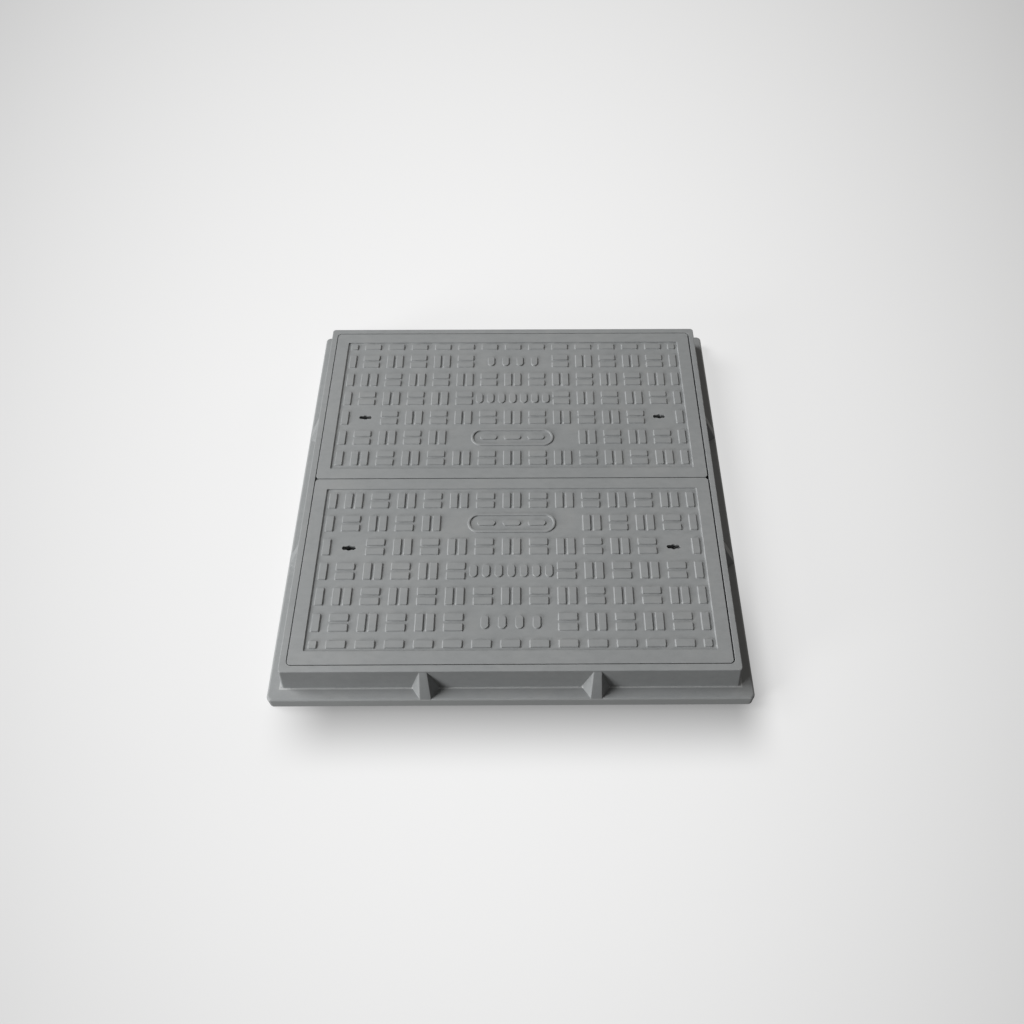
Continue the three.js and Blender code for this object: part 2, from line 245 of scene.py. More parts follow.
def stainlessFinish():
    material, shader, place = newMaterial("brushedStainless", 0.3, 1.0)
    grain = noise(material, mapped(material, place, stainless["brushing"]), 1, 3, 0.6)
    smudge = noise(material, place, 60, 3, 0.5)
    colour = blended(material, ranged(material, grain, 0.3, 0.7), stainless["dark"], stainless["light"])
    link(material, colour, shader.inputs["Base Color"])
    link(material, ranged(material, smudge, 0.3, 0.7, *stainless["roughness"]),
         shader.inputs["Roughness"])
    bumped(material, shader, ((grain, stainless["grainDepth"], 0.5),))
    return material


blackPlastic = {"black": (0.018, 0.018, 0.019), "bloom": (0.045, 0.045, 0.046),
                "roughness": (0.42, 0.62), "grainDepth": 0.06 * mm}


def blackPlasticFinish():
    material, shader, place = newMaterial("blackPlastic", 0.5)
    bloom = ranged(material, noise(material, place, 40, 5, 0.6), 0.4, 0.75)
    colour = blended(material, bloom, blackPlastic["black"], blackPlastic["bloom"])
    link(material, colour, shader.inputs["Base Color"])
    link(material, ranged(material, bloom, 0, 1, *blackPlastic["roughness"]), shader.inputs["Roughness"])
    bumped(material, shader, ((noise(material, place, 1300, 2), blackPlastic["grainDepth"], 0.6),))
    return material


rubber = {"black": (0.014, 0.014, 0.014), "chalk": (0.06, 0.06, 0.058), "roughness": (0.72, 0.9),
          "grainDepth": 0.12 * mm}


def rubberFinish():
    material, shader, place = newMaterial("gasketRubber", 0.8)
    chalk = ranged(material, noise(material, place, 26, 6, 0.65), 0.45, 0.8)
    colour = blended(material, chalk, rubber["black"], rubber["chalk"])
    link(material, colour, shader.inputs["Base Color"])
    link(material, ranged(material, chalk, 0, 1, *rubber["roughness"]), shader.inputs["Roughness"])
    bumped(material, shader, ((noise(material, place, 900, 3), rubber["grainDepth"], 0.7),))
    return material


finishes = {
    "composite": compositeFinish(),
    "galvanised": galvanisedFinish(),
    "stainless": stainlessFinish(),
    "black_plastic": blackPlasticFinish(),
    "rubber": rubberFinish(),
}
print("finishes made:", len(finishes))


# Helpers for shapes

def bevelEdges(bm, edges, offset, segments=2):
    bmesh.ops.bevel(bm, geom=list(edges), offset=offset, offset_type="OFFSET", segments=segments,
                    profile=0.5, affect="EDGES", clamp_overlap=True, material=-1)


def ringStack(bm, outlines, perCorner=5, closed=False, capped=False):
    # skins rounded rectangles, each (halfX, halfY, radius, z, middle), one after the other
    circle = bmesh.ops.create_circle(bm, cap_ends=False, segments=4 * perCorner, radius=1)
    halfStep = math.pi / 4 / perCorner
    ring = circle["verts"]
    bmesh.ops.rotate(bm, verts=ring, cent=(0, 0, 0), matrix=Matrix.Rotation(halfStep, 3, "Z"))
    directions = [v.co / math.cos(halfStep) for v in ring]

    def shape(outline):
        halfX, halfY, radius, z, middle = outline
        for v, d in zip(ring, directions):
            v.co.x = middle[0] + math.copysign(halfX - radius, d.x) + radius * d.x
            v.co.y = middle[1] + math.copysign(halfY - radius, d.y) + radius * d.y
            v.co.z = z

    shape(outlines[0])
    edges = list({e for v in ring for e in v.link_edges})
    firstEdges = edges
    for outline in outlines[1:] + (outlines[:1] if closed else []):
        made = bmesh.ops.extrude_edge_only(bm, edges=edges)["geom"]
        fresh = {g for g in made if isinstance(g, bmesh.types.BMVert)}
        edges = [g for g in made if isinstance(g, bmesh.types.BMEdge) and fresh.issuperset(g.verts)]
        ring = [next(e.other_vert(v) for e in v.link_edges if e.other_vert(v) in fresh) for v in ring]
        shape(outline)
    if closed:
        bmesh.ops.remove_doubles(bm, verts=bm.verts, dist=1e-6)
    if capped:
        bmesh.ops.edgeloop_fill(bm, edges=firstEdges)
        bmesh.ops.edgeloop_fill(bm, edges=edges)


def slab(bm, low, high, middle, corner, edge):
    # the plate between two corners of a box, with rounded corners and soft edges
    halfX, halfY = (high.x - low.x) / 2, (high.y - low.y) / 2
    ringStack(bm, [(halfX - edge, halfY - edge, corner - edge, low.z, middle),
                   (halfX, halfY, corner, low.z + edge, middle),
                   (halfX, halfY, corner, high.z - edge, middle),
                   (halfX - edge, halfY - edge, corner - edge, high.z, middle)], capped=True)


def pin(bm, x, y, radius, low, high, segments):
    bmesh.ops.create_cone(bm, cap_ends=True, segments=segments, radius1=radius, radius2=radius,
                          depth=high - low, matrix=Matrix.Translation((x, y, (low + high) / 2)))


def toObject(bm, name):
    bmesh.ops.recalc_face_normals(bm, faces=bm.faces)
    mesh = bpy.data.meshes.new(name)
    bm.to_mesh(mesh)
    bm.free()
    made = bpy.data.objects.new(name, mesh)
    scene.collection.objects.link(made)
    return made


def carved(piece, tool, operation):
    cut = piece.modifiers.new("cut", "BOOLEAN")
    cut.operation = operation
    cut.solver = "EXACT"
    cut.object = tool
    graph = bpy.context.evaluated_depsgraph_get()
    result = bpy.data.meshes.new_from_object(piece.evaluated_get(graph))
    old = piece.data
    piece.modifiers.clear()
    piece.data = result
    bpy.data.meshes.remove(old)
    bpy.data.objects.remove(tool)


def finished(piece, body, slot, *nodes):
    piece.data.materials.clear()
    piece.data.materials.append(finishes[slot])
    piece.data.shade_smooth()
    piece.data.set_sharp_from_angle(angle=math.radians(50))
    shading = piece.modifiers.new("evenShading", "WEIGHTED_NORMAL")
    shading.weight = 80
    shading.keep_sharp = True
    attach(piece, body)
    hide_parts(*nodes)


# The two leaves

leaf = {
    "corner": 8 * mm,
    "edgeRound": 0.7 * mm,
    "draft": 0.8 * mm,
    "flare": 0.7 * mm,
    "flareHigh": 12 * mm,
    "skin": 20 * mm,
    "skirt": 20 * mm,
    "skirtClear": 4 * mm,
    "skirtCorner": 6 * mm,
    "border": 28.5 * mm,
    "seamBorder": 26.5 * mm,
    "recess": 3.2 * mm,
    "slope": 1.0 * mm,
    "fieldCorner": 4 * mm,
    "floorCorner": 2 * mm,
    "ribThick": 10 * mm,
    "ribDraft": 1.5 * mm,
    "ribRound": 1 * mm,
    "ribInset": 22 * mm,
    "ribsAcross": [i * 100 * mm for i in range(-3, 4)],
    "ribsAlong": [-110 * mm, -240 * mm, -330 * mm],
}

tread = {
    "columns": 13,
    "rows": 6,
    "pitchX": 59.3 * mm,
    "pitchY": 59.6 * mm,
    "firstRow": 58.8 * mm,
    "length": 40 * mm,
    "width": 17 * mm,
    "space": 6 * mm,
    "draft": 0.7 * mm,
    "corner": 1.8 * mm,
    "topRound": 0.6 * mm,
    "footRound": 1.0 * mm,
    "edgeColumn": 402.7 * mm,
    "lastRow": 405 * mm,
    "blank": {2: (5, 6, 7, 8, 9), 3: (1, 13), 4: (6, 7, 8), 6: (6, 7, 8)},
}

leafMiddleY = (leafLow.y + leafHigh.y) / 2
leafHalfX = leafHigh.x
leafHalfY = (leafHigh.y - leafLow.y) / 2
floorZ = rimTop - leaf["recess"]


def rowMiddle(row):
    return -(tread["firstRow"] + (row - 1) * tread["pitchY"])


def columnMiddle(column):
    return (column - (tread["columns"] + 1) / 2) * tread["pitchX"]


def treadBars():
    # every bar as its middle and size
    bars = []
    long, wide = tread["length"], tread["width"]
    offset = (wide + tread["space"]) / 2
    for row in range(1, tread["rows"] + 1):
        y = rowMiddle(row)
        bars += [(x, y, wide, long) for x in (-tread["edgeColumn"], tread["edgeColumn"])]
        for column in range(1, tread["columns"] + 1):
            if column in tread["blank"].get(row, ()):
                continue
            x = columnMiddle(column)
            for side in (-offset, offset):
                if (row + column) % 2:
                    bars.append((x, y + side, long, wide))
                else:
                    bars.append((x + side, y, wide, long))
    bars += [(columnMiddle(c), -tread["lastRow"], long, wide) for c in range(1, tread["columns"] + 1)]
    bars += [(x, -tread["lastRow"], wide, wide) for x in (-tread["edgeColumn"], tread["edgeColumn"])]
    return bars


def cutAcross(bm, faces, axis, places):
    # cuts the given faces at each place along x (0) or y (1), and returns all that come of them
    normal = Vector((1, 0, 0)) if axis == 0 else Vector((0, 1, 0))
    for place in places:
        parts = set(faces)
        for face in faces:
            parts.update(face.edges)
            parts.update(face.verts)
        cut = bmesh.ops.bisect_plane(bm, geom=list(parts), dist=1e-7,
                                     plane_co=normal * place, plane_no=normal)
        faces = [g for g in cut["geom"] if isinstance(g, bmesh.types.BMFace)]
    return faces


def within(face, box):
    middle = face.calc_center_median()
    return box[0] < middle.x < box[1] and box[2] < middle.y < box[3]


def raiseTread(bm, floor):
    bars = treadBars()
    columnCuts = [columnMiddle(c) - tread["pitchX"] / 2 for c in range(1, tread["columns"] + 2)]
    rowCuts = [rowMiddle(r) - tread["pitchY"] / 2 for r in range(1, tread["rows"] + 1)]
    pieces = cutAcross(bm, cutAcross(bm, [floor], 0, columnCuts), 1, rowCuts)
    tops = []
    for cell in pieces:
        xs = [v.co.x for v in cell.verts]
        ys = [v.co.y for v in cell.verts]
        own = [b for b in bars if min(xs) < b[0] < max(xs) and min(ys) < b[1] < max(ys)]
        sides = sorted({x + s * w / 2 for x, y, w, h in own for s in (-1, 1)})
        ends = sorted({y + s * h / 2 for x, y, w, h in own for s in (-1, 1)})
        parts = cutAcross(bm, cutAcross(bm, [cell], 0, sides), 1, ends)
        for x, y, w, h in own:
            tops += [f for f in parts if within(f, (x - w / 2, x + w / 2, y - h / 2, y + h / 2))]
    bmesh.ops.inset_individual(bm, faces=tops, thickness=tread["draft"], depth=leaf["recess"],
                               use_even_offset=True)
    corners = []
    for face in tops:
        for v in face.verts:
            corners += [e for e in v.link_edges if e.other_vert(v).co.z < floorZ + 0.5 * mm]
    bevelEdges(bm, corners, tread["corner"])
    return len(bars)


def flatUp(face):
    return face.normal.z > 0.99


def onFloor(edge):
    return all(abs(v.co.z - floorZ) < 0.01 * mm for v in edge.verts)


def onTread(edge, box):
    return all(abs(v.co.z - rimTop) < 0.01 * mm and box[0] < v.co.x < box[1] and box[2] < v.co.y < box[3]
               for v in edge.verts)


def softenTread(bm):
    bm.normal_update()
    inner = (-leafHalfX + leaf["border"] - 0.5 * mm, leafHalfX - leaf["border"] + 0.5 * mm,
             leafLow.y + leaf["border"] - 0.5 * mm, leafHigh.y - leaf["seamBorder"] + 0.5 * mm)
    crests = [e for e in bm.edges if onTread(e, inner)
              and len(e.link_faces) == 2 and flatUp(e.link_faces[0]) != flatUp(e.link_faces[1])]
    bevelEdges(bm, crests, tread["topRound"])
    bm.normal_update()
    feet = [e for e in bm.edges if onFloor(e)
            and len(e.link_faces) == 2 and flatUp(e.link_faces[0]) != flatUp(e.link_faces[1])]
    bevelEdges(bm, feet, tread["footRound"], 1)


def leafBlank():
    bm = bmesh.new()
    middle = (0, leafMiddleY)
    foot = leafLow.z  # ribs reach lower than the skirt
    skirtFoot = ledgeTop + leaf["skirtClear"]
    halfX, halfY = leafHalfX, leafHalfY
    draft, edge, corner = leaf["draft"], leaf["edgeRound"], leaf["corner"]
    skirt, flare = leaf["skirt"], leaf["flare"]
    fieldY = (leafLow.y + leaf["border"] + leafHigh.y - leaf["seamBorder"]) / 2
    fieldHalfX = halfX - leaf["border"]
    fieldHalfY = halfY - (leaf["border"] + leaf["seamBorder"]) / 2
    slope = leaf["slope"]
    field = (0, fieldY)
    ringStack(bm, [
        (halfX - skirt, halfY - skirt, leaf["skirtCorner"], skirtFoot, middle),
        (halfX - draft - edge, halfY - draft - edge, corner - edge, skirtFoot, middle),
        (halfX - draft, halfY - draft, corner, skirtFoot + edge, middle),
        (halfX, halfY, corner, rimTop - leaf["flareHigh"], middle),
        (halfX + flare, halfY + flare, corner, rimTop - edge, middle),
        (halfX + flare - 0.3 * edge, halfY + flare - 0.3 * edge, corner, rimTop - 0.3 * edge, middle),
        (halfX + flare - edge, halfY + flare - edge, corner - edge, rimTop, middle),
        (fieldHalfX, fieldHalfY, leaf["fieldCorner"], rimTop, field),
        (fieldHalfX - slope, fieldHalfY - slope, leaf["floorCorner"], floorZ, field),
    ], capped=True)
    bmesh.ops.recalc_face_normals(bm, faces=bm.faces)
    bm.faces.ensure_lookup_table()
    floor = next(f for f in bm.faces if f.normal.z > 0.9 and abs(f.calc_center_median().z - floorZ) < mm
                 and f.calc_area() > 0.1)
    under = next(f for f in bm.faces if f.normal.z < -0.9 and f.calc_area() > 0.1)
    ribUnderside(bm, under, foot, skirtFoot)
    count = raiseTread(bm, floor)
    softenTread(bm)
    print("tread bars:", count)
    return bm


def ribUnderside(bm, under, foot, skirtFoot):
    half = leaf["ribThick"] / 2
    across = [x + s * half for x in leaf["ribsAcross"] for s in (-1, 1)]
    along = [y + s * half for y in leaf["ribsAlong"] for s in (-1, 1)]
    skirt, inset, draft = leaf["skirt"], leaf["ribInset"], leaf["ribDraft"]
    limitsX = [-leafHalfX + skirt + inset, leafHalfX - skirt - inset]
    limitsY = [leafLow.y + skirt + inset, leafHigh.y - skirt - inset]
    parts = cutAcross(bm, cutAcross(bm, [under], 0, across), 1, along)

    def isRib(face):
        middle = face.calc_center_median()
        return (any(abs(middle.x - x) < half for x in leaf["ribsAcross"])
                or any(abs(middle.y - y) < half for y in leaf["ribsAlong"]))

    ribs = [f for f in parts if isRib(f)]
    pockets = [f for f in parts if not isRib(f)]
    bmesh.ops.inset_individual(bm, faces=pockets, thickness=draft,
                               depth=-(rimTop - leaf["skin"] - skirtFoot), use_even_offset=True)
    ribs = cutAcross(bm, cutAcross(bm, ribs, 0, limitsX), 1, limitsY)
    deep = [f for f in ribs if within(f, (*limitsX, *limitsY))]
    bmesh.ops.inset_region(bm, faces=deep, thickness=draft, depth=skirtFoot - foot,
                           use_even_offset=True)
    rim = [e for e in bm.edges if all(abs(v.co.z - foot) < 0.01 * mm for v in e.verts)
           and len(e.link_faces) == 2 and abs(e.link_faces[0].normal.z - e.link_faces[1].normal.z) > 0.3]
    bevelEdges(bm, rim, leaf["ribRound"])


mark = {"crest": 0.8 * mm, "lean": 0.6 * mm, "sunk": 1 * mm}
badge = {"halfX": 98 * mm, "halfY": 25 * mm, "line": 6 * mm, "high": 2.9 * mm,
         "bars": (-56 * mm, 0, 56 * mm), "barHalfX": 20 * mm, "barHalfY": 7 * mm}
studs = {"halfX": 8.5 * mm, "halfY": 15.5 * mm, "high": 2.9 * mm,
         "rows": ((4, 7, 27 * mm), (6, 4, 36 * mm))}


def domed(bm, halfX, halfY, radius, x, y, high):
    # a low raised mark with a rounded crest, sunk a little into the floor
    crest, lean = mark["crest"], mark["lean"]
    top = floorZ + high
    low = floorZ - mark["sunk"]
    outlines = []
    for inside, z in ((0, low), (lean, top - crest), (lean + 0.3 * crest, top - 0.3 * crest),
                      (lean + crest, top)):
        outlines.append((halfX - inside, halfY - inside, radius - inside, z, (x, y)))
    ringStack(bm, outlines, perCorner=4, capped=True)


def badgeRing(bm, y):
    line, crest, lean = badge["line"], mark["crest"], mark["lean"]
    top = floorZ + badge["high"]
    low = floorZ - mark["sunk"]
    outlines = []
    for inside, z in ((0, low), (lean, top - crest), (lean + crest, top),
                      (line - crest, top), (line, top - crest), (line + lean, low)):
        halfY = badge["halfY"] - inside
        outlines.append((badge["halfX"] - inside, halfY, halfY, z, (0, y)))
    ringStack(bm, outlines, perCorner=8, closed=True)


def plainMarks():
    bm = bmesh.new()
    badgeRing(bm, rowMiddle(2))
    for x in badge["bars"]:
        halfX, halfY = badge["barHalfX"], badge["barHalfY"]
        domed(bm, halfX, halfY, halfY, x, rowMiddle(2), badge["high"])
    for row, count, pitch in studs["rows"]:
        for i in range(count):
            domed(bm, studs["halfX"], studs["halfY"], studs["halfX"], (i - (count - 1) / 2) * pitch,
                  rowMiddle(row), studs["high"])
    return toObject(bm, "plainMarks")


keyway = {"x": 354 * mm, "y": -180 * mm, "half": 15 * mm, "width": 9 * mm, "eye": 6.5 * mm}


def keywayTool(low, high):
    # both slots with their round eyes, drawn down from one level to another
    bm = bmesh.new()
    for x in (-keyway["x"], keyway["x"]):
        slotHalf = keyway["width"] / 2
        slot = [(keyway["half"], slotHalf, slotHalf, z, (x, keyway["y"])) for z in (low, high)]
        ringStack(bm, slot, capped=True)
    slot = toObject(bm, "slotTool")
    bm = bmesh.new()
    for x in (-keyway["x"], keyway["x"]):
        pin(bm, x, keyway["y"], keyway["eye"], low, high, 24)
    carved(slot, toObject(bm, "eyeTool"), "UNION")
    return slot


def makeLeaf():
    piece = toObject(leafBlank(), "leaf")
    carved(piece, plainMarks(), "UNION")
    carved(piece, keywayTool(rimTop - leaf["skin"] - 2 * mm, rimTop + mm), "DIFFERENCE")
    return piece


def halfTurned(piece, name):
    copy = piece.copy()
    copy.data = piece.data.copy()
    copy.name = name
    copy.data.transform(Matrix.Rotation(math.pi, 4, "Z"))
    scene.collection.objects.link(copy)
    return copy


frontLeaf = makeLeaf()
frontLeaf.name = "frontLeaf"
rearLeaf = halfTurned(frontLeaf, "rearLeaf")
finished(frontLeaf, "leaf_front", "composite", "leaf_front")
finished(rearLeaf, "leaf_rear", "composite", "leaf_rear")
print("leaves made:", len(frontLeaf.data.polygons), "faces each")


# The frame

surround = {
    "flangeCorner": 11 * mm,
    "rimCorner": 7 * mm,
    "apertureCorner": 11 * mm,
    "flangeTop": 33 * mm,
    "lip": 8 * mm,
    "lipRound": 5 * mm,
    "lipLean": 1 * mm,
    "rimHalf": 465 * mm,
    "wallLean": 8 * mm,
    "rimRound": 1.8 * mm,
    "aperture": 451.5 * mm,
    "rest": (0.8 * mm, 0.9 * mm),  # aperture set aside in X, and tighter in Y
    "apertureEdge": 0.6 * mm,
    "opening": 415 * mm,
    "openingEdge": 1 * mm,
    "openingCorner": 6 * mm,
    "ledgeFillet": 1.5 * mm,
    "footEdge": (0.8 * mm, 1.2 * mm),
    "fillet": 2 * mm,
    "wallLeg": 471 * mm,
    "innerLeg": 449 * mm,
    "ledgeSkin": 10 * mm,
    "flangeSkin": 12 * mm,
    "ledgeLip": 8 * mm,
    "web": 8 * mm,
    "webDraft": 0.8 * mm,
    "innerCells": 9,
    "outerCells": 11,
}
gusset = {"places": (-175 * mm, 175 * mm), "topHalf": 8 * mm, "toeHalf": 12 * mm, "footHalf": 30 * mm,
          "top": 97 * mm, "reach": 501 * mm, "toe": 29 * mm, "sunk": 5 * mm, "round": 1.4 * mm}
pocket = {"halfWidth": 36.5 * mm, "floor": 16.7 * mm, "toolHigh": 60 * mm}
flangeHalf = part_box("frame")[1].x


def arcSteps(centre, radius, startDegrees, endDegrees, count):
    steps = []
    for i in range(count + 1):
        angle = math.radians(startDegrees + (endDegrees - startDegrees) * i / count)
        steps.append((centre[0] + radius * math.cos(angle), centre[1] + radius * math.sin(angle)))
    return steps


def frameSection():
    # half width, height and corner radius, from the outer foot over the top to the inner foot
    s = surround
    lip, top, rim, edge, fillet = s["lipRound"], s["flangeTop"], s["rimHalf"], s["rimRound"], s["fillet"]
    foot = rim + s["wallLean"]
    lean = math.degrees(math.atan(s["wallLean"] / (rimTop - top)))
    section = [(flangeHalf - s["footEdge"][0], 0), (flangeHalf, s["footEdge"][1])]
    section += arcSteps((flangeHalf - s["lipLean"] - lip, top - lip), lip, 0, 90, 5)
    section += arcSteps((foot + fillet, top + fillet), fillet, 270, 180 + lean, 2)
    section += arcSteps((rim - edge, rimTop - edge), edge, lean, 90, 3)
    inner, sharp, soft = s["aperture"], s["apertureEdge"], s["ledgeFillet"]
    section += [(inner + sharp, rimTop), (inner + 0.3 * sharp, rimTop - 0.3 * sharp)]
    section += [(inner, rimTop - sharp)]
    section += [(inner, ledgeTop + soft), (inner - soft, ledgeTop)]
    opening, sharp = s["opening"], s["openingEdge"]
    section += [(opening + sharp, ledgeTop), (opening, ledgeTop - sharp), (opening, 0)]
    return section


def cornerFor(half):
    s = surround
    if half > s["rimHalf"] + s["wallLean"] + mm:
        return s["flangeCorner"] - (flangeHalf - half) * 0.1
    if half > s["aperture"] + 1.5 * mm:
        return max(s["rimCorner"] - max(s["rimHalf"] - half, 0) * 0.3, 5 * mm)
    if half > s["opening"] + 3 * mm:
        return s["apertureCorner"]
    return s["openingCorner"]


def underPockets(bm):
    # opens the underside between its webs: inner cells under the ledge, outer ones under the flange
    s = surround
    bm.normal_update()
    under = [f for f in bm.faces if f.normal.z < -0.9]
    inner = (s["opening"] + s["ledgeLip"], s["innerLeg"], ledgeTop - s["ledgeSkin"],
             s["innerCells"], s["opening"])
    outer = (s["wallLeg"], flangeHalf - s["lip"], s["flangeTop"] - s["flangeSkin"],
             s["outerCells"], s["rimHalf"])
    lines = sorted({line for band in (inner, outer) for line in band[:2]})
    lines = [-v for v in lines] + lines
    under = cutAcross(bm, cutAcross(bm, under, 0, lines), 1, lines)
    for band in (inner, outer):
        low, high, depth, count, reach = band
        pitch = 2 * reach / count
        webs = [-reach + i * pitch + side * s["web"] / 2 for i in range(count + 1) for side in (-1, 1)]
        webs = [w for w in webs if abs(w) < reach]
        for axis in (0, 1):
            strip = [f for f in under if f.is_valid and low < abs(f.calc_center_median()[1 - axis]) < high
                     and abs(f.calc_center_median()[axis]) < low]
            parts = cutAcross(bm, strip, axis, webs)
            under = [f for f in under if f.is_valid] + parts
            chosen = []
            for face in set(parts):
                at = face.calc_center_median()[axis]
                off = (at + reach) % pitch
                inCell = s["web"] / 2 < off < pitch - s["web"] / 2
                overPocket = band is inner and axis == 1 and abs(at) < pitch / 2
                if inCell and not overPocket and abs(at) < reach:
                    chosen.append(face)
            bmesh.ops.inset_individual(bm, faces=chosen, thickness=s["webDraft"], depth=-depth,
                                       use_even_offset=True)
            under = [f for f in under if f.is_valid and f not in chosen]


def addGusset(bm, y):
    # a ridge of its own, sunk a little into the wall and the flange
    g = gusset
    rim, flange = surround["rimHalf"], surround["flangeTop"]
    wall = rim + surround["wallLean"]
    points = []
    for side in (-1, 1):
        for x, across, z in (
            (rim - g["sunk"], g["topHalf"], g["top"]),
            (rim, g["topHalf"], g["top"]),
            (g["reach"], g["toeHalf"], g["toe"]),
            (g["reach"] - g["sunk"], g["toeHalf"], g["toe"] - g["sunk"]),
            (wall, g["footHalf"], flange),
            (wall, g["footHalf"], flange - g["sunk"]),
            (rim - g["sunk"], g["footHalf"], flange),
        ):
            points.append(bm.verts.new((x, y + side * across, z)))
    hull = bmesh.ops.convex_hull(bm, input=points)
    faces = {part for part in hull["geom"] if isinstance(part, bmesh.types.BMFace)}
    edges = {e for f in faces for e in f.edges}
    bmesh.ops.dissolve_limit(bm, angle_limit=0.02, verts=points, edges=list(edges))
    shell = {f for v in points if v.is_valid for f in v.link_faces}
    for face in shell:
        face.normal_update()
    crests = [e for e in {e for f in shell for e in f.edges}
              if min(f.normal.x for f in e.link_faces) > 0.05 and e.calc_length() > 50 * mm]
    bevelEdges(bm, crests, g["round"], 2)


def makeGussets():
    bm = bmesh.new()
    for y in gusset["places"]:
        addGusset(bm, y)
    once = bm.verts[:] + bm.edges[:] + bm.faces[:]
    for turn in (1, 2, 3):
        copy = bmesh.ops.duplicate(bm, geom=once)["geom"]
        bmesh.ops.rotate(bm, verts=[v for v in copy if isinstance(v, bmesh.types.BMVert)], cent=(0, 0, 0),
                         matrix=Matrix.Rotation(turn * math.pi / 2, 3, "Z"))
    bmesh.ops.recalc_face_normals(bm, faces=bm.faces)
    return bm


def pocketTool():
    bm = bmesh.new()
    size = (2 * surround["aperture"] - 2 * mm, 2 * pocket["halfWidth"], pocket["toolHigh"])
    middle = pocket["floor"] + pocket["toolHigh"] / 2
    bmesh.ops.create_cube(bm, size=1, matrix=Matrix.Translation((0, 0, middle)))
    bmesh.ops.scale(bm, verts=bm.verts, vec=size, space=Matrix.Translation((0, 0, -middle)))
    return toObject(bm, "pocketTool")


def makeFrame():
    bm = bmesh.new()
    outlines = []
    for half, z in frameSection():
        inAperture = surround["opening"] + 3 * mm < half < surround["aperture"] + mm
        aside, tight = surround["rest"] if inAperture else (0, 0)
        outlines.append((half, half - tight, cornerFor(half), z, (aside, 0)))
    ringStack(bm, outlines, perCorner=6, closed=True)
    bmesh.ops.recalc_face_normals(bm, faces=bm.faces)
    underPockets(bm)
    piece = toObject(bm, "coverFrame")
    carved(piece, pocketTool(), "DIFFERENCE")
    ridges = makeGussets()
    ridges.from_mesh(piece.data)
    ridges.to_mesh(piece.data)
    ridges.free()
    return piece


coverFrame = makeFrame()
finished(coverFrame, "frame", "composite", "frame")
print("frame made:", len(coverFrame.data.polygons), "faces")


# What lies under the leaves

def prism(name, outline, along, half, bevel=0.0, middle=0.0):
    # a flat outline of (across, z) points drawn out both ways along x or y
    bm = bmesh.new()
    place = (lambda a, b, c: (c, a, b)) if along == "x" else (lambda a, b, c: (a, c, b))
    ends = [[bm.verts.new(place(a, b, middle + c)) for a, b in outline] for c in (-half, half)]
    for ring in ends:
        bm.faces.new(ring)
    count = len(outline)
    for i in range(count):
        bm.faces.new((ends[0][i], ends[0][(i + 1) % count], ends[1][(i + 1) % count], ends[1][i]))
    if bevel:
        bevelEdges(bm, [e for e in bm.edges if e.calc_face_angle(0) > 0.5], bevel)
    return toObject(bm, name)


def mirrored(half):
    return half + [(-across, z) for across, z in reversed(half)]


beam = {"flangeThick": 8 * mm, "web": 5 * mm, "bend": (410 * mm, 350 * mm), "footThick": 6 * mm,
        "footHalf": 25 * mm, "edge": 1.2 * mm, "endFoot": 20 * mm}
weld = {"leg": 4.6 * mm, "step": 3.5 * mm, "low": 0.84, "start": 12 * mm}
groove = {"half": 3 * mm, "deep": 4 * mm, "reach": 431 * mm}


def weldBead(bm, side, z, down, halfLength):
    # a rippled fillet in the corner between the web and a plate above (down 1) or below (down -1) it
    count = int(2 * halfLength / weld["step"])
    previous = None
    for i in range(count + 1):
        leg = weld["leg"] * (1 if i % 2 else weld["low"])
        x = -halfLength + 2 * halfLength * i / count
        face = beam["web"]
        fan = ((face - 1.5 * mm, -1.5 * mm), (face + leg, -0.8 * mm), (face + 0.75 * leg, 0.42 * leg),
               (face + 0.42 * leg, 0.75 * leg), (face - 0.8 * mm, leg))
        ring = [bm.verts.new((x, side * across, z - down * deep)) for across, deep in fan]
        if previous:
            for j in range(len(ring)):
                k = (j + 1) % len(ring)
                bm.faces.new((previous[j], previous[k], ring[k], ring[j]))
        else:
            bm.faces.new(ring)
        previous = ring
    bm.faces.new(previous)


def makeBeam():
    low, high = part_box("support_beam")
    under = high.z - beam["flangeThick"]
    bend, inner = beam["bend"]
    piece = prism("supportBeam", [(low.y, under), (high.y, under), (high.y, high.z), (low.y, high.z)],
                  "x", high.x, beam["edge"])
    web = mirrored([(high.x - mm, under + mm), (high.x - mm, beam["endFoot"]), (bend, beam["endFoot"]),
                    (inner, low.z + mm)])
    carved(piece, prism("web", web, "y", beam["web"]), "UNION")
    foot = [(bend, beam["endFoot"]), (inner, low.z), (-inner, low.z), (-bend, beam["endFoot"])]
    foot += [(x, z + beam["footThick"]) for x, z in reversed(foot)]
    carved(piece, prism("foot", foot, "y", beam["footHalf"], beam["edge"]), "UNION")
    slot = [(-groove["half"], high.z - groove["deep"]), (groove["half"], high.z - groove["deep"]),
            (groove["half"], high.z + mm), (-groove["half"], high.z + mm)]
    carved(piece, prism("groove", slot, "x", groove["reach"]), "DIFFERENCE")
    bm = bmesh.new()
    bm.from_mesh(piece.data)
    for side in (-1, 1):
        weldBead(bm, side, under, 1, high.x - weld["start"])
        weldBead(bm, side, low.z + beam["footThick"], -1, inner - weld["start"])
    bmesh.ops.recalc_face_normals(bm, faces=bm.faces)
    bm.to_mesh(piece.data)
    bm.free()
    return piece


sealLip = {"base": 2.7 * mm, "strip": 1 * mm, "barb": 0.7 * mm, "rib": 0.2 * mm, "ribs": 8}


